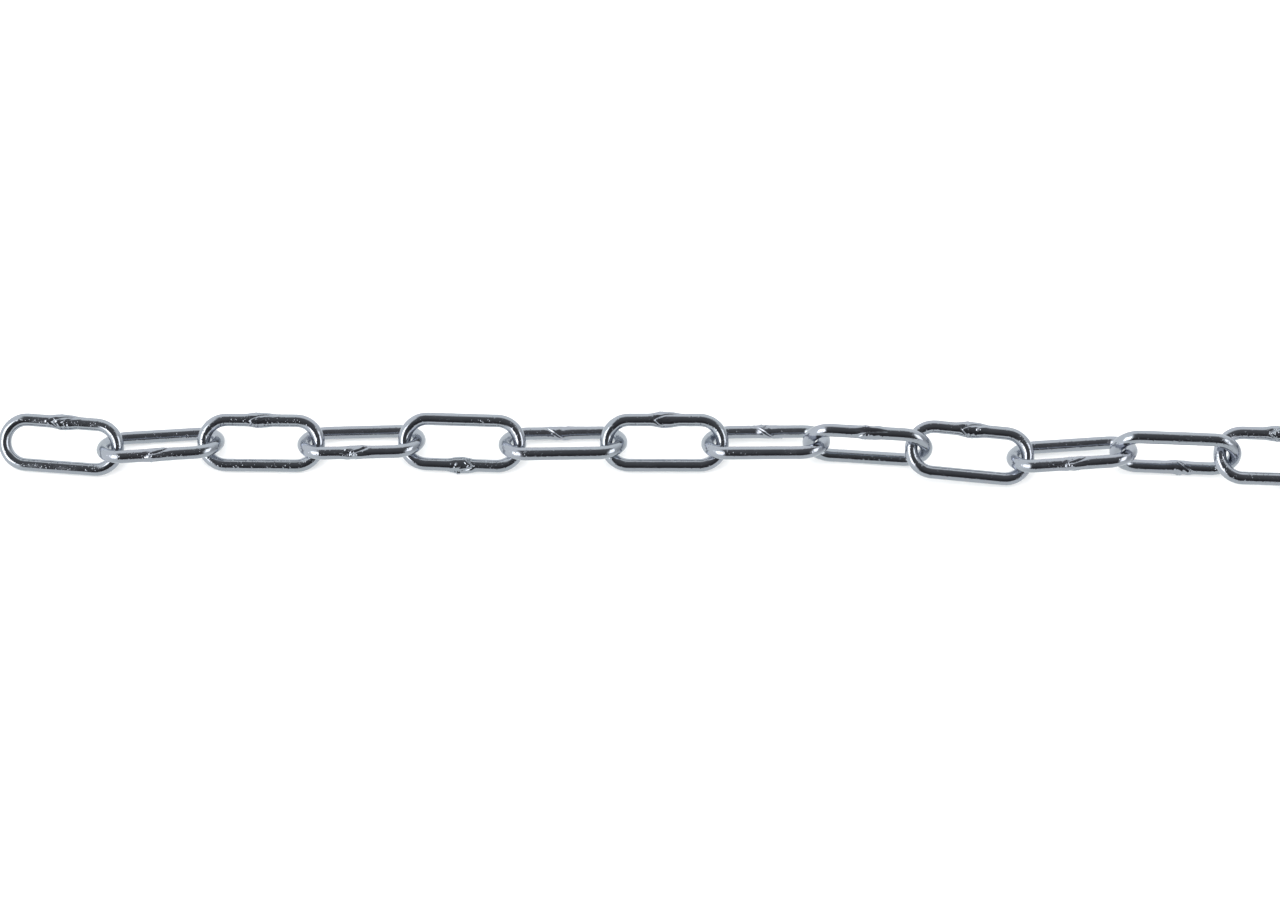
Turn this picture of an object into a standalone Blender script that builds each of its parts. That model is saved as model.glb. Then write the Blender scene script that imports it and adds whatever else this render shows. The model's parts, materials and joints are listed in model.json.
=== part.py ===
"""One metre of welded steel chain, laid out along the floor.

Thirty-one like links, each bent from 4 mm round wire and butt-welded in the middle of one rail.
The chain runs along +X, and its first link is the one at the lowest X. Most links lie leaning to
one side and the other in turn, as linked links must, and two near the first end stand on edge.
The origin is on the floor, under the middle of the laid chain. A link's own origin is on the
wire of its first crown, and its local Y runs along that wire: it is the bar that the link swings
about in the eye of the link before it.
"""

import math

import bmesh
import bpy
from mathutils import Matrix, Vector

MM = 0.001

# The link
WIRE = 4.0 * MM
INNER_LENGTH = 32.0 * MM
INNER_WIDTH = 10.0 * MM
RAIL = (INNER_WIDTH + WIRE) / 2  # from the link's middle line to the middle of a rail
TIP = (INNER_LENGTH + WIRE) / 2  # from the link's centre to the middle of a crown's wire
STRAIGHT = 2 * (TIP - RAIL)  # length of a rail between its crowns
WELD_SWELL = 0.6 * MM  # how far the upset weld stands proud of the wire
WELD_LENGTH = 8.0 * MM
WELD_CREST = 2.4 * MM  # length of the thickest part of the weld

# The chain as laid
LINKS = 31
SLACK = 0.6 * MM  # play left between the crowns of two linked links
SPACING = INNER_LENGTH - SLACK
LEAN = 32.0  # degrees across the chain from the floor, to one side and the other in turn
# Links that lean otherwise: 9 and 12 stand on edge, and the leans after them settle back
OTHER_LEANS = {
    2: -34.0, 8: -31.0, 9: 88.0, 10: 27.0, 11: -35.0, 12: 82.0, 13: 21.0, 14: -42.0,
    15: 23.0, 16: -40.0, 17: 25.0, 18: -38.0, 19: 28.0, 20: -35.0,
}
# Degrees that each link turns from +X on the floor: chosen by eye for the first ones, and a
# slow sway from side to side for the rest
FIRST_HEADINGS = (-4.5, 4.5, 0.0, 1.5, -1.5, 1.5, 0.5, -2.0, -3.5, -2.5, 1.0, -2.0, 1.5)
LATER_HEADING = 0.8
LATER_SWAY = 2.8
SWAY_PER_LINK = 1.25  # radians of the sway's wave for each further link
WELDS_UNDERNEATH = (5, 6, 8, 12, 17, 22, 23, 28)

# The faceted wire: it has the area of the round section, and the links that lean LEAN to the
# second side lie level on a flat of it. Unturned, they would at a lean of 30 degrees
SIDES = 12
CROWN_STEPS = 7
MITRE = math.pi / (2 * (CROWN_STEPS + 1))  # the crown's straight steps touch its true arc
FLAT_ANGLE = math.tau / SIDES
SECTION_RADIUS = WIRE / 2 * math.sqrt(FLAT_ANGLE / math.sin(FLAT_ANGLE))
SECTION_TURN = math.radians(LEAN - 30.0)


def clear_scene():
    for obj in list(bpy.data.objects):
        bpy.data.objects.remove(obj)


def zinc_plated_steel():
    """Bright zinc plating on drawn wire."""
    material = bpy.data.materials.new("bright_zinc_plated_steel")
    material.use_nodes = True
    shader = material.node_tree.nodes["Principled BSDF"]
    shader.inputs["Base Color"].default_value = (0.62, 0.63, 0.66, 1.0)
    shader.inputs["Metallic"].default_value = 1.0
    shader.inputs["Roughness"].default_value = 0.22
    return material


def wire_section(bm, centre):
    """A ring of wire around a point, mitred for the start of a crown. Returns its edges."""
    upright = (
        Matrix.Translation(centre)
        @ Matrix.Rotation(math.pi / 2, 4, "Y")
        @ Matrix.Rotation(FLAT_ANGLE / 2 - SECTION_TURN, 4, "Z")
    )
    made = bmesh.ops.create_circle(bm, segments=SIDES, radius=SECTION_RADIUS, matrix=upright)
    mitre = Matrix.Identity(4)
    mitre[0][1] = math.tan(MITRE)
    around = Matrix.Translation(-centre)
    bmesh.ops.transform(bm, verts=made["verts"], matrix=mitre, space=around)
    return list({edge for vert in made["verts"] for edge in vert.link_edges})


def bend_crown(bm, ring, middle_x):
    """Bends the wire about an end of the link, mitre to mitre. Returns the last ring's edges."""
    bent = bmesh.ops.spin(
        bm,
        geom=ring,
        cent=(middle_x, 0, 0),
        axis=(0, 0, -1),
        angle=math.pi - 2 * MITRE,
        steps=CROWN_STEPS,
    )
    return [item for item in bent["geom_last"] if isinstance(item, bmesh.types.BMEdge)]


def draw_wire(bm, ring, run, scale):
    """Draws the wire on along X by a run, its section scaled about its middle. Returns the
    new ring's edges. Scaling by -1 along X turns a mitre over, and by 0 squares it."""
    drawn = bmesh.ops.extrude_edge_only(bm, edges=ring)["geom"]
    verts = [item for item in drawn if isinstance(item, bmesh.types.BMVert)]
    bmesh.ops.translate(bm, verts=verts, vec=(run, 0, 0))
    centre = sum((vert.co for vert in verts), Vector()) / len(verts)
    bmesh.ops.scale(bm, verts=verts, vec=scale, space=Matrix.Translation(-centre))
    return [item for item in drawn if isinstance(item, bmesh.types.BMEdge)]


def link_mesh(material):
    """One closed link, with the weld on its +Y rail."""
    bm = bmesh.new()
    end = STRAIGHT / 2
    reach = end + RAIL * math.tan(MITRE)
    first = wire_section(bm, Vector((reach, RAIL, 0)))
    ring = bend_crown(bm, first, end)
    ring = draw_wire(bm, ring, -2 * reach, (-1, 1, 1))
    ring = bend_crown(bm, ring, -end)
    swell = 1 + WELD_SWELL / (WIRE / 2)
    ring = draw_wire(bm, ring, reach - WELD_LENGTH / 2, (0, 1, 1))
    ring = draw_wire(bm, ring, (WELD_LENGTH - WELD_CREST) / 2, (1, swell, swell))
    ring = draw_wire(bm, ring, WELD_CREST, (1, 1, 1))
    ring = draw_wire(bm, ring, (WELD_LENGTH - WELD_CREST) / 2, (1, 1 / swell, 1 / swell))
    bmesh.ops.bridge_loops(bm, edges=ring + first)
    bmesh.ops.translate(bm, verts=bm.verts, vec=(TIP, 0, 0))
    bmesh.ops.recalc_face_normals(bm, faces=bm.faces)
    mesh = bpy.data.meshes.new("link")
    bm.to_mesh(mesh)
    bm.free()
    mesh.materials.append(material)
    mesh.shade_smooth()
    return mesh


def lean_of(number):
    side = 1 if number % 2 else -1
    return math.radians(OTHER_LEANS.get(number, side * LEAN))


def heading_of(number):
    if number <= len(FIRST_HEADINGS):
        return math.radians(FIRST_HEADINGS[number - 1])
    further = number - len(FIRST_HEADINGS)
    return math.radians(LATER_HEADING + LATER_SWAY * math.sin(SWAY_PER_LINK * further))


def resting_height(number):
    """Height of a level link's middle line when its lower rail, or the weld on it, lies down."""
    height = RAIL * abs(math.sin(lean_of(number))) + WIRE / 2
    return height + WELD_SWELL if number in WELDS_UNDERNEATH else height


def crossing_points():
    """The middles of the crossings, where linked crowns meet, and the chain's two free ends."""
    rest = [resting_height(number) for number in range(1, LINKS + 1)]
    heights = [rest[0]] + [max(pair) for pair in zip(rest, rest[1:])] + [rest[-1]]
    points = [Vector((0, 0, heights[0]))]
    for number in range(1, LINKS + 1):
        rise = heights[number] - heights[number - 1]
        run = math.sqrt(SPACING**2 - rise**2)
        heading = heading_of(number)
        step = Vector((run * math.cos(heading), run * math.sin(heading), rise))
        points.append(points[-1] + step)
    return points


def link_place(start, finish, number):
    """World matrix of a link that spans two crossing points."""
    along = (finish - start).normalized()
    level = Vector((-along.y, along.x, 0)).normalized()
    lean = lean_of(number)
    across = math.cos(lean) * level + math.sin(lean) * along.cross(level)
    raised = math.copysign(1, lean)
    welded = -raised if number in WELDS_UNDERNEATH else raised
    across *= welded
    turn = Matrix((along, across, along.cross(across))).transposed().to_4x4()
    return Matrix.Translation((start + finish) / 2 - TIP * along) @ turn


def laid_places():
    points = crossing_points()
    return [link_place(points[n - 1], points[n], n) for n in range(1, LINKS + 1)]


def centring(mesh, places):
    """The move that puts the chain's lowest, middle point at the world's origin."""
    corners = [place @ vert.co for place in places for vert in mesh.vertices]
    low, high = (Vector(map(pick, zip(*corners))) for pick in (min, max))
    return Matrix.Translation((-(low.x + high.x) / 2, -(low.y + high.y) / 2, -low.z))


def main():
    clear_scene()
    mesh = link_mesh(zinc_plated_steel())
    places = laid_places()
    move = centring(mesh, places)
    places = [move @ place for place in places]
    before, held_at = None, Matrix.Identity(4)
    for number, place in enumerate(places, 1):
        link = bpy.data.objects.new(f"link_{number:02d}", mesh)
        bpy.context.collection.objects.link(link)
        link.parent = before
        link.matrix_basis = held_at.inverted() @ place
        before, held_at = link, place


main()
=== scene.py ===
"""One metre of bright zinc-plated steel chain on a pale studio floor.

Laid out as an add-on, and run as a script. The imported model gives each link's place, and each
link here is the same wire with its butt weld, its drawing lines and its zinc modelled on it.
All places are in metres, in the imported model's frame.
"""

import json
import math
import random

import bmesh
import bpy
import numpy as np
from bpy.props import FloatProperty, FloatVectorProperty, IntProperty, PointerProperty, StringProperty
from mathutils import Matrix, Vector, noise

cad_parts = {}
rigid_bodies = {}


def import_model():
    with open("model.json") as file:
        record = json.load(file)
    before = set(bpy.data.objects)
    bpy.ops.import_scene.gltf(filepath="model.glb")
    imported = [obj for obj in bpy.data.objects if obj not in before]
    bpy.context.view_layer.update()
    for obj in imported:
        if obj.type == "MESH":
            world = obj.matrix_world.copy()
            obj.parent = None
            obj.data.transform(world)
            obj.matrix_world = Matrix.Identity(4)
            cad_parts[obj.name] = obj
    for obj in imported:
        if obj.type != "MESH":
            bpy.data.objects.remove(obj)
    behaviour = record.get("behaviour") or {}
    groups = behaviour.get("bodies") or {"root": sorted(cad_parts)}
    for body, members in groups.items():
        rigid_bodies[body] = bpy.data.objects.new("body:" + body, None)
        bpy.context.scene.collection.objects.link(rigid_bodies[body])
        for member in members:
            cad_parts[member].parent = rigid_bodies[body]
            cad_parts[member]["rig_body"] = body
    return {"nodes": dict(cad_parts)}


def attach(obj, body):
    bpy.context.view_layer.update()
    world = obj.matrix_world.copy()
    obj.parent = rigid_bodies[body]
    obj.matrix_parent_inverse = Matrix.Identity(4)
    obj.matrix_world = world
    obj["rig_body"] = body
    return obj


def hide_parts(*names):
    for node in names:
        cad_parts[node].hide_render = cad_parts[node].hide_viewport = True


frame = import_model()

bl_info = {
    "name": "Welded chain",
    "version": (1, 0, 0),
    "blender": (4, 5, 0),
    "location": "View3D > Sidebar > Chain",
    "description": "Dresses a laid length of welded chain in bright zinc and lights it",
    "category": "Object",
}

MM = 0.001
LINK_NODES = sorted(frame["nodes"])

# How the wire is divided
SIDES = 84
CROWN_STEPS = 24
PLAIN_STEP = 1.0 * MM  # between the rings of a plain stretch of rail
WELD_STEP = 0.13 * MM  # between the rings of the weld
WELD_REACH = 6.8 * MM  # from the middle of the rail to either end of the finely divided stretch

# Welds of the photographed links, in millimetres: how far each lies from the middle of its rail,
# how far its seam sweeps along the wire, and how far its cheek stands proud
SHOWN_WELDS = (
    (0.6, 4.0, 0.62), (-0.3, 3.7, 0.6), (-0.3, 3.5, 0.55), (-0.7, 4.0, 0.6), (0.0, 4.0, 0.8),
    (-1.0, 4.8, 0.5), (0.3, 3.6, 0.75), (0.3, 5.0, 0.5), (0.4, 3.4, 0.6), (0.0, 3.4, 0.75),
    (1.0, 3.6, 0.55), (1.6, 4.4, 0.55), (0.4, 3.4, 0.62),
)

# What all welds share
CHEEK_REACH = 3.9 * MM  # along the wire to either side, on the link's outer side
CHEEK_EDGE = 0.75 * MM  # over which the cheek rises from the seam
SWELLING_REACH = 3.2 * MM  # along the wire to either side, on the link's inner side
SWELLING_SHARE = 0.6  # of the cheek's height
SEAM_DEPTH = 0.12 * MM
SEAM_WIDTH = 0.14 * MM
SEAM_WAVER = 0.25 * MM
RIM_HEIGHT = 0.13 * MM
RIM_PLACE = 0.36 * MM  # from the seam, to either side
RIM_WIDTH = 0.18 * MM
CORNER_START = math.radians(45)  # from a tongue's tip to where its edge turns across the wire
CORNER_TURN = 93 * MM  # how sharply it turns there, for each radian cubed
TIP_REACH = math.radians(45)  # around the wire, from a tongue's tip to where lip and folds fade
LIP_RISE = 0.4 * MM
LIP_FALL = 1.5 * MM
FOLD_WIDTH = 0.2 * MM
BEADS_A_SIDE = 6
BLOB_REACH = 0.6 * MM
WELD_FADE = 1.2 * MM  # over which the weld runs out into the plain wire
UNEVENNESS = 0.03 * MM  # of the whole wire, from bending it

SOFTBOX_DISTANCE = 12.0  # far enough to stand at one angle from all of the chain
SOFTBOX_HEIGHT = 0.8 * SOFTBOX_DISTANCE
OVERHEAD_HEIGHT = 4.0
OVERHEAD_SIZE = 4.0
FLOOR_REACH = 40.0
FLOOR_DROP = 0.05 * MM  # keeps the floor's surface clear of the links that rest on it
SENSOR_WIDTH = 36.0  # millimetres, of a full-frame camera


class ChainSizes(bpy.types.PropertyGroup):
    wire: FloatProperty(name="Wire", description="Diameter of the wire", default=4 * MM, unit="LENGTH")
    inner_length: FloatProperty(
        name="Inner length", description="Length of a link's eye", default=32 * MM, unit="LENGTH"
    )
    inner_width: FloatProperty(
        name="Inner width", description="Width of a link's eye", default=10 * MM, unit="LENGTH"
    )
    weld_swell: FloatProperty(
        name="Weld swell", description="How far a weld stands proud on the links past the photographed ones",
        default=0.62 * MM, unit="LENGTH",
    )
    weld_sweep: FloatProperty(
        name="Seam sweep", description="How far a seam runs to either side on the links past those",
        default=3.6 * MM, unit="LENGTH",
    )
    seed: IntProperty(name="Seed", description="Makes another set of welds", default=7)


class ZincFinish(bpy.types.PropertyGroup):
    bright: StringProperty(name="Bright zinc", description="Colour of the zinc", default="#b0b7be")
    lavender: StringProperty(
        name="Passivated zinc", description="Colour where the clear passivation is thicker", default="#b6b7c2"
    )
    roughness: FloatProperty(
        name="Roughness", description="Roughness of clean zinc", default=0.09, min=0, max=1
    )
    frosted: FloatProperty(
        name="Frosted roughness", description="Roughness where the zinc is frosted",
        default=0.22, min=0, max=1,
    )
    grain: FloatProperty(
        name="Grain", description="Spacing of the plating's specks", default=0.7 * MM, unit="LENGTH"
    )
    line: FloatProperty(
        name="Drawing lines", description="Spacing of the lines along the wire",
        default=0.3 * MM, unit="LENGTH",
    )


class StudioStage(bpy.types.PropertyGroup):
    floor: StringProperty(name="Floor", description="Colour of the floor", default="#f4f4f4")
    walls: StringProperty(name="Walls", description="Light of the studio's pale walls", default="#f9feff")
    right_wall: StringProperty(
        name="Right wall", description="Light of the dimmer right wall", default="#b4b8ba"
    )
    ground: StringProperty(
        name="Ground", description="Light that the zinc mirrors from the ground before it", default="#e1e7e6"
    )
    hall: StringProperty(
        name="Hall", description="Light of the dark hall behind the camera", default="#2b2b2d"
    )
    ceiling: StringProperty(name="Ceiling", description="Light of the hall's ceiling", default="#67686a")
    hall_top: FloatProperty(
        name="Hall top", description="Where the hall's ceiling ends, as an angle up from the front",
        default=math.radians(134), subtype="ANGLE",
    )
    left_power: FloatProperty(
        name="Left softbox", description="Watts of the softbox at the left", default=370.0, unit="POWER"
    )
    right_power: FloatProperty(
        name="Right softbox", description="Watts of the softbox at the right", default=200.0, unit="POWER"
    )
    overhead_power: FloatProperty(
        name="Overhead softbox", description="Watts of the softbox overhead", default=230.0, unit="POWER"
    )
    azimuth: FloatProperty(
        name="Azimuth", description="The camera's turn about the chain", default=math.radians(5.526),
        subtype="ANGLE",
    )
    elevation: FloatProperty(
        name="Elevation", description="The camera's height over the floor, as an angle",
        default=math.radians(58.787), subtype="ANGLE",
    )
    roll: FloatProperty(
        name="Roll", description="The camera's turn about its line of sight", default=math.radians(-4.274),
        subtype="ANGLE",
    )
    distance: FloatProperty(
        name="Distance", description="From the camera to what it looks at", default=1.0072, unit="LENGTH"
    )
    lens: FloatProperty(name="Lens", description="Focal length in millimetres", default=91.655)
    target: FloatVectorProperty(
        name="Target", description="What the camera looks at", default=(-0.28953, -0.00303, 0.006),
        subtype="XYZ", unit="LENGTH",
    )


def colour(text):
    """Linear RGBA of an sRGB hex colour."""
    parts = [int(text[i : i + 2], 16) / 255 for i in (1, 3, 5)]
    linear = [p / 12.92 if p <= 0.04045 else ((p + 0.055) / 1.055) ** 2.4 for p in parts]
    return (*linear, 1.0)


def add_node(tree, kind, settings, inputs):
    """Adds a node, gives it its settings, and sets or links its inputs."""
    node = tree.nodes.new(kind)
    for name, value in settings.items():
        setattr(node, name, value)
    for name, value in inputs.items():
        if isinstance(value, bpy.types.NodeSocket):
            tree.links.new(value, node.inputs[name])
        else:
            node.inputs[name].default_value = value
    return node


class Shape:
    """The lines that a link's wire follows, in metres from the link's centre."""

    def __init__(self, sizes):
        self.radius = sizes.wire / 2
        self.rail = (sizes.inner_width + sizes.wire) / 2
        self.end = (sizes.inner_length + sizes.wire) / 2 - self.rail

    def along_and_around(self, point):
        """Metres along the wire from the middle of the +Y rail, and radians around the wire
        from the link's outer side."""
        beyond = max(abs(point.x) - self.end, 0)
        bend = math.atan2(beyond, point.y)
        run = min(abs(point.x), self.end) - self.end
        along = self.end + self.rail * bend + (run if bend < math.pi / 2 else -run)
        around = math.atan2(point.z, math.hypot(beyond, point.y) - self.rail)
        return math.copysign(along, point.x), around

    def whole_run(self):
        """Metres of wire in a whole link."""
        return 4 * self.end + math.tau * self.rail


def draw_wire(bm, ring, run, steps):
    """Draws the wire on along X by a run, in equal steps. Returns the last ring's edges."""
    for _ in range(steps):
        drawn = bmesh.ops.extrude_edge_only(bm, edges=ring)["geom"]
        verts = [item for item in drawn if isinstance(item, bmesh.types.BMVert)]
        bmesh.ops.translate(bm, verts=verts, vec=(run / steps, 0, 0))
        ring = [item for item in drawn if isinstance(item, bmesh.types.BMEdge)]
    return ring


def bend_crown(bm, ring, middle_x):
    """Bends the wire half round an end of the link. Returns the last ring's edges."""
    bent = bmesh.ops.spin(
        bm, geom=ring, cent=(middle_x, 0, 0), axis=(0, 0, -1), angle=math.pi, steps=CROWN_STEPS
    )
    return [item for item in bent["geom_last"] if isinstance(item, bmesh.types.BMEdge)]


def plain_link(shape):
    """A closed link of round wire about its own centre, finely divided where its weld comes."""
    bm = bmesh.new()
    start = Matrix.Translation((shape.end, shape.rail, 0)) @ Matrix.Rotation(math.pi / 2, 4, "Y")
    made = bmesh.ops.create_circle(bm, segments=SIDES, radius=shape.radius, matrix=start)
    first = list({edge for vert in made["verts"] for edge in vert.link_edges})
    ring = bend_crown(bm, first, shape.end)
    ring = draw_wire(bm, ring, -2 * shape.end, round(2 * shape.end / PLAIN_STEP))
    ring = bend_crown(bm, ring, -shape.end)
    side_run = shape.end - WELD_REACH
    ring = draw_wire(bm, ring, side_run, round(side_run / PLAIN_STEP))
    ring = draw_wire(bm, ring, 2 * WELD_REACH, round(2 * WELD_REACH / WELD_STEP))
    ring = draw_wire(bm, ring, side_run - PLAIN_STEP, round(side_run / PLAIN_STEP) - 1)
    bmesh.ops.bridge_loops(bm, edges=ring + first)
    bmesh.ops.recalc_face_normals(bm, faces=bm.faces)
    return bm


def bump(distance, width):
    """A smooth hill of height 1 at distance 0."""
    return math.exp(-((distance / width) ** 2))


def mound(distance, width):
    """A hill of height 1 with a flat top and steeper sides."""
    return math.exp(-((distance / width) ** 4))


def ramp(distance, width):
    """Rises smoothly from 0 at distance 0 to 1 at a width."""
    share = min(max(distance / width, 0), 1)
    return share * share * (3 - 2 * share)


class Weld:
    """A resistance butt weld between slanting cuts. Each end of the wire runs out in a pointed
    tongue, on opposite faces of the link. The metal squeezed out between them stands proud: as a
    broad cheek with steep edges on the link's outer side, and as a low swelling on its inner."""

    def __init__(self, sizes, number):
        draw = random.Random(sizes.seed * 1000 + number)
        self.radius = sizes.wire / 2
        swell = sizes.weld_swell * draw.uniform(0.85, 1.15)
        self.turn = math.radians(draw.uniform(-10, 10))
        drawn = (draw.uniform(-1.2, 1.4) * MM, draw.uniform(0.8, 1.1) * sizes.weld_sweep, swell)
        shown = number <= len(SHOWN_WELDS)
        measures = [MM * value for value in SHOWN_WELDS[number - 1]] if shown else drawn
        self.shift, self.sweep, self.swell = measures
        # How far a tongue's edge stands up
        self.lip = draw.uniform(0.16, 0.26) * MM
        # Folds beside the seam: how far inside the tongue's edge, and how high
        self.folds = [
            (draw.uniform(0.7, 1.1) * MM, draw.uniform(0.08, 0.16) * MM),
            (draw.uniform(1.8, 2.5) * MM, draw.uniform(0.05, 0.12) * MM),
            (draw.uniform(-0.9, -0.6) * MM, draw.uniform(0.05, 0.1) * MM),
        ]
        # Beads of spatter on each tongue: angle around the wire, place along it, height and reach
        self.beads = []
        for side in (1, -1):
            for _ in range(BEADS_A_SIDE):
                angle = math.radians(side * draw.uniform(62, 118))
                place = side * (draw.uniform(0.5, 7.5) * MM - self.sweep)
                size = draw.uniform(0.08, 0.2) * MM
                self.beads.append((angle, place, size, draw.uniform(0.25, 0.4) * MM))
        # The largest drop, on the outer side: angle, place and height
        blob_place = self.sweep - draw.uniform(4.4, 5.4) * MM
        self.blob = (math.radians(draw.uniform(-26, -18)), blob_place, draw.uniform(0.3, 0.42) * MM)
        self.place = Vector((draw.uniform(0, 50), draw.uniform(0, 50), draw.uniform(0, 50)))

    def wander(self, along, around, scale):
        """Noise from -1 to 1 over the wire's surface. The scale is in millimetres."""
        spot = Vector((along / MM, 2 * math.cos(around), 2 * math.sin(around)))
        return noise.noise(self.place + spot / scale)

    def inside_tongue(self, from_tip, aside, outer):
        """Metres from a tongue's edge to a point, more than 0 on the tongue. The point lies so
        far along from the tip, and at an angle around the wire from it."""
        edge = self.sweep * 2 * aside / math.pi
        slope = self.sweep * 2 / math.pi
        if outer:
            corner = max(aside - CORNER_START, 0)
            edge += self.sweep * aside**2 / 2 + CORNER_TURN * corner**3
            slope += self.sweep * aside + 3 * CORNER_TURN * corner**2
        return (from_tip - edge) / math.hypot(1, slope / self.radius)

    def tongues(self, past, around, ragged):
        """How far the cheek, the tongues' lips and folds and the seam stand proud there."""
        turned = around + self.turn
        flank = math.cos(turned) ** 2
        outer = math.cos(turned) > 0
        waver = SEAM_WAVER * self.wander(0, around, 1.2)
        if outer:
            cheek = self.swell * flank * mound(past, CHEEK_REACH)
        else:
            cheek = self.swell * flank * SWELLING_SHARE * mound(past, SWELLING_REACH)
        relief = 0.0
        for side in (1, -1):
            aside = abs(math.remainder(turned - side * math.pi / 2, math.tau))
            inside = self.inside_tongue(side * past + self.sweep + waver, aside, outer)
            share = 1.0 if outer else (1 + side * math.sin(turned)) / 2
            near_tip = bump(aside, TIP_REACH)
            relief -= SEAM_DEPTH * share * bump(inside, SEAM_WIDTH)
            relief += self.lip * ramp(inside, LIP_RISE) * math.exp(-max(inside, 0) / LIP_FALL) * near_tip
            for place, size in self.folds:
                relief += size * ragged * near_tip * bump(inside - place, FOLD_WIDTH)
            if outer:
                cheek *= ramp(-inside, CHEEK_EDGE)
            else:
                rims = bump(inside - RIM_PLACE, RIM_WIDTH) + bump(inside + RIM_PLACE, RIM_WIDTH)
                relief += RIM_HEIGHT * share * flank * rims
        return cheek + relief

    def apart(self, around, along):
        """Metres over the wire's surface, for an angle around it and a length along it."""
        return math.hypot(self.radius * math.remainder(around, math.tau), along)

    def height(self, along, around):
        """How far the weld stands proud of the wire there, in metres."""
        if abs(along) > WELD_REACH:
            return 0.0
        past = along - self.shift
        turned = around + self.turn
        ragged = max(0.6 + 1.6 * self.wander(along, around, 1.1), 0)
        proud = self.tongues(past, around, ragged)
        for angle, place, size, reach in self.beads:
            off_bead = self.apart(turned - angle, past - place)
            if off_bead < 3 * reach:
                proud += size * (0.4 + 0.6 * ragged) * bump(off_bead, reach)
        # The large drop is twice as long as it is broad, with a jagged top
        angle, place, size = self.blob
        off_blob = self.apart(turned - angle, (past - place) / 2)
        jagged = 1 + 1.3 * self.wander(along, around, 0.55)
        proud += size * jagged * bump(off_blob, BLOB_REACH)
        return proud * ramp(WELD_REACH - abs(along), WELD_FADE)


def link_place(node, shape):
    """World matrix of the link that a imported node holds: X along it, Y across it towards its
    weld, and Z out of its plane. The weld draws the mean of the node's points to its rail."""
    corners = [tuple(round(value, 6) for value in vert.co) for vert in frame["nodes"][node].data.vertices]
    points = np.array(sorted(set(corners)))
    mean = points.mean(axis=0)
    across, along = np.linalg.eigh(np.cov((points - mean).T))[1].T[1:]
    along = along * np.sign(along[0])
    crowns = points[abs((points - mean) @ along) > shape.end / 2]
    centre = crowns.mean(axis=0)
    across = across * np.sign((mean - centre) @ across)
    turn = Matrix((along, across, np.cross(along, across))).transposed().to_4x4()
    return Matrix.Translation(centre) @ turn


def wrap_wire_map(bm, shape):
    """A UV map in metres of wire: U along it and V around it."""
    wire_map = bm.loops.layers.uv.new("wire")
    periods = (shape.whole_run(), math.tau * shape.radius)
    for face in bm.faces:
        first = None
        for loop in face.loops:
            along, around = shape.along_and_around(loop.vert.co)
            place = [along, around * shape.radius]
            if first is None:
                first = place
            for i, period in enumerate(periods):
                place[i] -= period * round((place[i] - first[i]) / period)
            loop[wire_map].uv = place


def welded_link(plain, node, shape, sizes, material):
    """Models one link in its place, with its weld and the slight unevenness of bent wire."""
    number = LINK_NODES.index(node) + 1
    weld = Weld(sizes, number)
    bm = plain.copy()
    for vert in bm.verts:
        along, around = shape.along_and_around(vert.co)
        uneven = UNEVENNESS * noise.noise(weld.place + vert.co / (5 * MM))
        vert.co += vert.normal * (weld.height(along, around) + uneven)
    bmesh.ops.transform(bm, verts=bm.verts, matrix=link_place(node, shape))
    for vert in bm.verts:
        vert.co.z = max(vert.co.z, 0)  # the weld rests on the floor
    mesh = bpy.data.meshes.new("welded_" + node)
    bm.to_mesh(mesh)
    bm.free()
    mesh.shade_smooth()
    mesh.materials.append(material)
    piece = bpy.data.objects.new("welded_" + node, mesh)
    bpy.context.scene.collection.objects.link(piece)
    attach(piece, frame["nodes"][node]["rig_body"])
    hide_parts(node)


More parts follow.
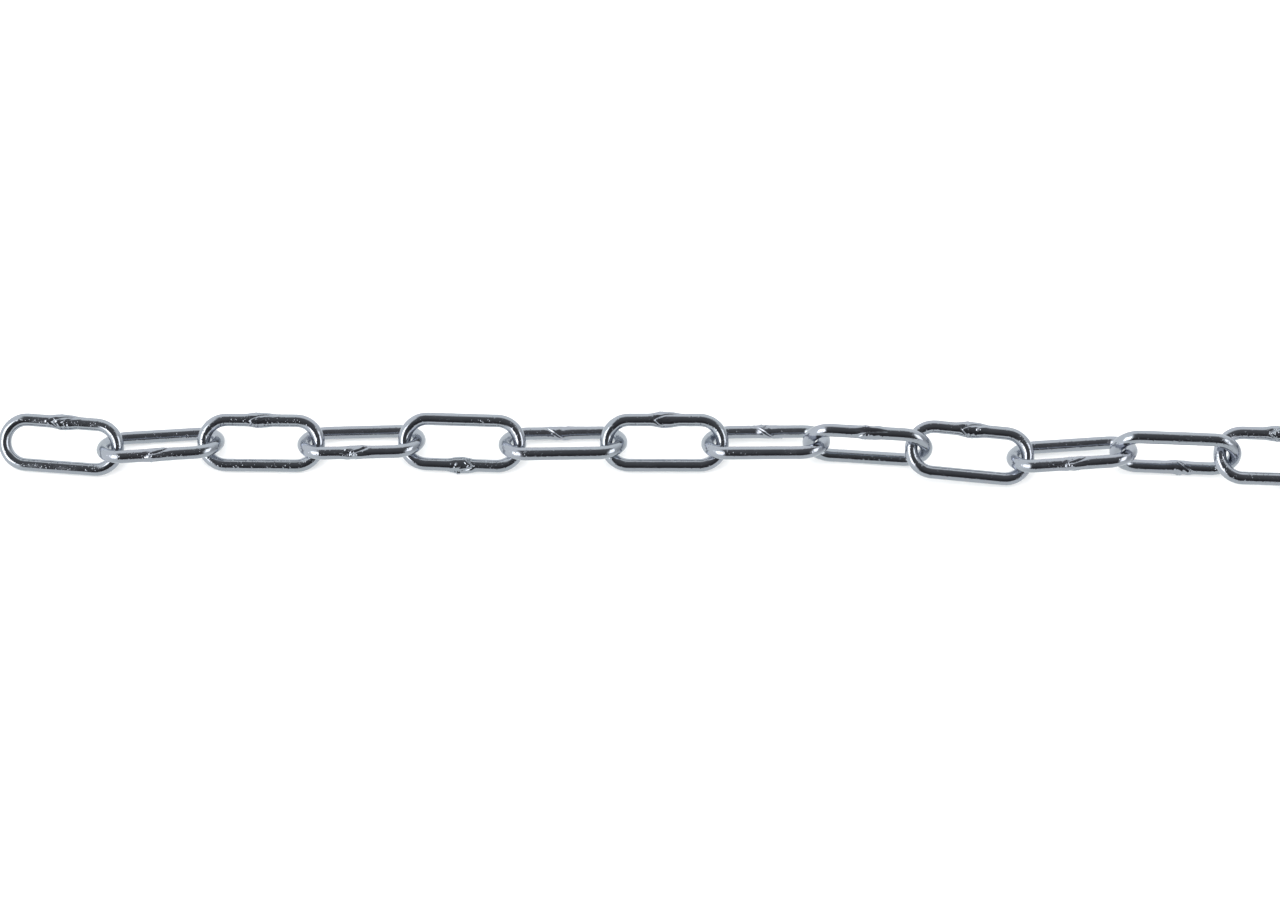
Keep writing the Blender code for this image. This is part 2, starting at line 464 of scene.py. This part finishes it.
def bright_zinc_plate(finish):
    """Bright zinc plated on drawn steel wire: a blue-white mirror, a little frosted, with raised
    specks from the bath and faint lines along the wire from the drawing die."""
    material = bpy.data.materials.new("bright_zinc_plated_drawn_wire")
    material.use_nodes = True
    tree = material.node_tree
    tree.nodes.clear()
    place = add_node(tree, "ShaderNodeTexCoord", {}, {})
    # The clear passivation's thickness, and so its tint, changes over a centimetre or two
    tint = add_node(
        tree,
        "ShaderNodeTexNoise",
        {},
        {"Vector": place.outputs["Object"], "Scale": 1 / (14 * MM), "Detail": 2.0},
    )
    base = add_node(
        tree,
        "ShaderNodeMix",
        {"data_type": "RGBA"},
        {"Factor": tint.outputs["Fac"], "A": colour(finish.bright), "B": colour(finish.lavender)},
    )
    # Frosted patches of a few millimetres
    frost = add_node(
        tree,
        "ShaderNodeTexNoise",
        {},
        {"Vector": place.outputs["Object"], "Scale": 1 / (4 * MM), "Detail": 6.0},
    )
    rough = add_node(
        tree,
        "ShaderNodeMapRange",
        {},
        {
            "Value": frost.outputs["Fac"],
            "From Min": 0.42,
            "From Max": 0.75,
            "To Min": finish.roughness,
            "To Max": finish.frosted,
        },
    )
    # Raised specks. The bath leaves them about 0.1 mm apart, which is too fine to show in the
    # render, so they are drawn coarser. The redder a cell's colour, the smaller and lower its speck.
    pips = add_node(
        tree,
        "ShaderNodeTexVoronoi",
        {},
        {"Vector": place.outputs["Object"], "Scale": 1 / finish.grain},
    )
    chance = add_node(tree, "ShaderNodeSeparateColor", {}, {"Color": pips.outputs["Color"]})
    shrunk = add_node(
        tree,
        "ShaderNodeMath",
        {"operation": "MULTIPLY_ADD"},
        {0: chance.outputs["Red"], 1: 0.3, 2: pips.outputs["Distance"]},
    )
    raised = add_node(
        tree,
        "ShaderNodeMapRange",
        {"interpolation_type": "SMOOTHSTEP"},
        {"Value": shrunk.outputs["Value"], "From Min": 0.46, "From Max": 0.12},
    )
    # They crowd on some links and are sparse on others
    crowding = add_node(
        tree,
        "ShaderNodeTexNoise",
        {},
        {"Vector": place.outputs["Object"], "Scale": 1 / (45 * MM), "Detail": 1.0},
    )
    amount = add_node(
        tree,
        "ShaderNodeMapRange",
        {},
        {"Value": crowding.outputs["Fac"], "From Min": 0.35, "From Max": 0.65, "To Min": 0.35, "To Max": 1.0},
    )
    speck_bump = add_node(
        tree,
        "ShaderNodeBump",
        {},
        {"Height": raised.outputs["Result"], "Strength": amount.outputs["Result"], "Distance": 0.045 * MM},
    )
    # The die's lines, each about 9 mm long. Real ones are about 0.05 mm apart, which is too fine
    # to show in the render, so they are drawn coarser.
    stretched = add_node(
        tree,
        "ShaderNodeMapping",
        {"vector_type": "POINT"},
        {"Vector": place.outputs["UV"], "Scale": (1 / (9 * MM), 1 / finish.line, 1.0)},
    )
    lines = add_node(
        tree,
        "ShaderNodeTexNoise",
        {"noise_dimensions": "2D"},
        {"Vector": stretched.outputs["Vector"], "Scale": 1.0, "Detail": 2.0},
    )
    line_bump = add_node(
        tree,
        "ShaderNodeBump",
        {},
        {
            "Height": lines.outputs["Fac"],
            "Strength": 0.3,
            "Distance": 0.03 * MM,
            "Normal": speck_bump.outputs["Normal"],
        },
    )
    shader = add_node(
        tree,
        "ShaderNodeBsdfPrincipled",
        {},
        {
            "Base Color": base.outputs["Result"],
            "Metallic": 1.0,
            "Roughness": rough.outputs["Result"],
            "Normal": line_bump.outputs["Normal"],
        },
    )
    add_node(tree, "ShaderNodeOutputMaterial", {}, {"Surface": shader.outputs["BSDF"]})
    return material


def matt_paper(stage):
    """Matt white background paper: it takes soft shadows and shows no gloss."""
    material = bpy.data.materials.new("matt_background_paper")
    material.use_nodes = True
    shader = material.node_tree.nodes["Principled BSDF"]
    shader.inputs["Base Color"].default_value = colour(stage.floor)
    shader.inputs["Roughness"].default_value = 0.9
    return material


def share_inside(tree, edges):
    """1 where every value is past its edge, 0 before it and soft between. Each edge is a value's
    socket, where it starts to count and where it counts in full, in either order."""
    inside = 1.0
    for value, start, full in edges:
        past_edge = add_node(
            tree,
            "ShaderNodeMapRange",
            {"interpolation_type": "SMOOTHSTEP"},
            {"Value": value, "From Min": start, "From Max": full},
        )
        both = add_node(
            tree,
            "ShaderNodeMath",
            {"operation": "MULTIPLY"},
            {0: inside, 1: past_edge.outputs["Result"]},
        )
        inside = both.outputs["Value"]
    return inside


def studio_light(stage):
    """The room as a world: pale walls that are dimmer at the right, a ground that is greyest
    before the chain, and behind the camera a dark hall whose ceiling reaches past overhead."""
    world = bpy.data.worlds.new("studio")
    world.use_nodes = True
    tree = world.node_tree
    tree.nodes.clear()
    place = add_node(tree, "ShaderNodeTexCoord", {}, {})
    way = add_node(tree, "ShaderNodeSeparateXYZ", {}, {"Vector": place.outputs["Generated"]})
    across, back, up = way.outputs["X"], way.outputs["Y"], way.outputs["Z"]
    # Two angles give each direction: its height, from the front over the top, and its lean to
    # the right
    front = add_node(tree, "ShaderNodeMath", {"operation": "MULTIPLY"}, {0: back, 1: -1.0})
    turned = add_node(tree, "ShaderNodeMath", {"operation": "ARCTAN2"}, {0: up, 1: front.outputs["Value"]})
    height = turned.outputs["Value"]
    leaned = add_node(tree, "ShaderNodeMath", {"operation": "ARCSINE"}, {0: across})
    side = leaned.outputs["Value"]
    walls = add_node(
        tree,
        "ShaderNodeMix",
        {"data_type": "RGBA"},
        {
            "Factor": share_inside(tree, [(side, math.radians(25), math.radians(80))]),
            "A": colour(stage.walls),
            "B": colour(stage.right_wall),
        },
    )
    # In full straight before the chain, and fainter towards the back and the sides
    ground_edges = [
        (up, 0.03, -0.03),
        (back, 1.8, -1.0),
        (side, math.radians(-75), 0),
        (side, math.radians(90), 0),
    ]
    ground = add_node(
        tree,
        "ShaderNodeMix",
        {"data_type": "RGBA"},
        {
            "Factor": share_inside(tree, ground_edges),
            "A": walls.outputs["Result"],
            "B": colour(stage.ground),
        },
    )
    overhead = add_node(
        tree,
        "ShaderNodeMapRange",
        {},
        {"Value": height, "From Min": math.radians(15), "From Max": math.radians(105)},
    )
    hall = add_node(
        tree,
        "ShaderNodeMix",
        {"data_type": "RGBA"},
        {"Factor": overhead.outputs["Result"], "A": colour(stage.hall), "B": colour(stage.ceiling)},
    )
    # From just over the horizon to past overhead, and to either side of the camera
    hall_edges = [
        (height, math.radians(2), math.radians(8)),
        (height, stage.hall_top, stage.hall_top - math.radians(22)),
        (side, math.radians(-28), math.radians(-20)),
        (side, math.radians(45), math.radians(31)),
    ]
    light = add_node(
        tree,
        "ShaderNodeMix",
        {"data_type": "RGBA"},
        {
            "Factor": share_inside(tree, hall_edges),
            "A": ground.outputs["Result"],
            "B": hall.outputs["Result"],
        },
    )
    background = add_node(
        tree, "ShaderNodeBackground", {}, {"Color": light.outputs["Result"], "Strength": 1.0}
    )
    add_node(tree, "ShaderNodeOutputWorld", {}, {"Surface": background.outputs["Background"]})
    bpy.context.scene.world = world


def sight_lines(stage):
    """The directions from the target back to the camera, to its right and up, before its roll."""
    back = Vector(
        (
            math.sin(stage.azimuth) * math.cos(stage.elevation),
            -math.cos(stage.azimuth) * math.cos(stage.elevation),
            math.sin(stage.elevation),
        )
    )
    right = Vector((math.cos(stage.azimuth), math.sin(stage.azimuth), 0))
    return back, right, back.cross(right)


def place_along(direction, distance, target, upward):
    """World matrix of something at a distance in a direction from the target, facing it."""
    across = upward.cross(direction).normalized()
    turn = Matrix((across, direction.cross(across), direction)).transposed().to_4x4()
    return Matrix.Translation(target + distance * direction) @ turn


def add_lamp(name, power, width, height, place):
    """A softbox. Its place is its world matrix, and it shines along its own -Z."""
    lamp = bpy.data.lights.new(name, "AREA")
    lamp.shape = "RECTANGLE"
    lamp.size, lamp.size_y = width, height
    lamp.energy = power
    softbox = bpy.data.objects.new(name, lamp)
    softbox.visible_camera = False
    softbox.matrix_world = place
    bpy.context.scene.collection.objects.link(softbox)
    return softbox


def add_softboxes(stage):
    """A softbox at either side of the camera, which the bends mirror, and a wide one overhead."""
    back, right, upward = sight_lines(stage)
    # The turn from the camera's line of sight in degrees, the watts, and the width over the distance
    sides = (
        ("left_softbox", -43, stage.left_power, 0.46),
        ("right_softbox", 51, stage.right_power, 0.36),
    )
    for name, degrees, power, width in sides:
        turn = math.radians(degrees)
        direction = math.cos(turn) * back + math.sin(turn) * right
        place = place_along(direction, SOFTBOX_DISTANCE, Vector(stage.target), upward)
        add_lamp(name, power, width * SOFTBOX_DISTANCE, SOFTBOX_HEIGHT, place)
    overhead = Matrix.Translation((stage.target[0], stage.target[1], OVERHEAD_HEIGHT))
    wide = add_lamp("overhead_softbox", stage.overhead_power, OVERHEAD_SIZE, OVERHEAD_SIZE, overhead)
    wide.visible_glossy = False
    wide.data.use_shadow = False  # a fill that thins the shadows on the floor


def add_camera(stage):
    """The camera that sees the first links from the photograph's angle."""
    back, right, upward = sight_lines(stage)
    camera = bpy.data.objects.new("camera", bpy.data.cameras.new("camera"))
    camera.data.sensor_width = SENSOR_WIDTH
    camera.data.lens = stage.lens
    camera.data.clip_start = 0.05
    tilted_up = math.cos(stage.roll) * upward - math.sin(stage.roll) * right
    camera.matrix_world = place_along(back, stage.distance, Vector(stage.target), tilted_up)
    bpy.context.scene.collection.objects.link(camera)
    bpy.context.scene.camera = camera


class CHAIN_OT_make_links(bpy.types.Operator):
    """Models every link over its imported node"""

    bl_idname = "chain.make_links"
    bl_label = "Make the welded links"

    def execute(self, context):
        sizes = context.scene.chain_sizes
        shape = Shape(sizes)
        material = bright_zinc_plate(context.scene.zinc_finish)
        plain = plain_link(shape)
        wrap_wire_map(plain, shape)
        for node in LINK_NODES:
            welded_link(plain, node, shape, sizes, material)
        plain.free()
        return {"FINISHED"}


class CHAIN_OT_make_stage(bpy.types.Operator):
    """Makes the floor, the lights and the camera"""

    bl_idname = "chain.make_stage"
    bl_label = "Make the stage"

    def execute(self, context):
        stage = context.scene.studio_stage
        mesh = bpy.data.meshes.new("floor")
        bm = bmesh.new()
        bmesh.ops.create_grid(bm, x_segments=1, y_segments=1, size=FLOOR_REACH)
        bmesh.ops.translate(bm, verts=bm.verts, vec=(0, 0, -FLOOR_DROP))
        bm.to_mesh(mesh)
        bm.free()
        mesh.materials.append(matt_paper(stage))
        floor = bpy.data.objects.new("floor", mesh)
        context.scene.collection.objects.link(floor)
        floor.visible_glossy = False  # the zinc mirrors the world's greyer ground in its place
        studio_light(stage)
        add_softboxes(stage)
        add_camera(stage)
        context.scene.view_settings.view_transform = "Standard"
        return {"FINISHED"}


class CHAIN_PT_panel(bpy.types.Panel):
    bl_label = "Welded chain"
    bl_idname = "CHAIN_PT_panel"
    bl_space_type = "VIEW_3D"
    bl_region_type = "UI"
    bl_category = "Chain"

    def draw(self, context):
        for group in (context.scene.chain_sizes, context.scene.zinc_finish, context.scene.studio_stage):
            box = self.layout.box()
            for name in group.bl_rna.properties.keys():
                if name not in ("rna_type", "name"):
                    box.prop(group, name)
        self.layout.operator(CHAIN_OT_make_links.bl_idname)
        self.layout.operator(CHAIN_OT_make_stage.bl_idname)


CLASSES = (ChainSizes, ZincFinish, StudioStage, CHAIN_OT_make_links, CHAIN_OT_make_stage, CHAIN_PT_panel)


def register():
    for kind in CLASSES:
        bpy.utils.register_class(kind)
    bpy.types.Scene.chain_sizes = PointerProperty(type=ChainSizes)
    bpy.types.Scene.zinc_finish = PointerProperty(type=ZincFinish)
    bpy.types.Scene.studio_stage = PointerProperty(type=StudioStage)


def unregister():
    del bpy.types.Scene.studio_stage
    del bpy.types.Scene.zinc_finish
    del bpy.types.Scene.chain_sizes
    for kind in reversed(CLASSES):
        bpy.utils.unregister_class(kind)


def main():
    """Makes the links and the stage."""
    register()
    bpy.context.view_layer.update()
    bpy.ops.chain.make_links()
    bpy.ops.chain.make_stage()


if __name__ == "__main__":
    main()
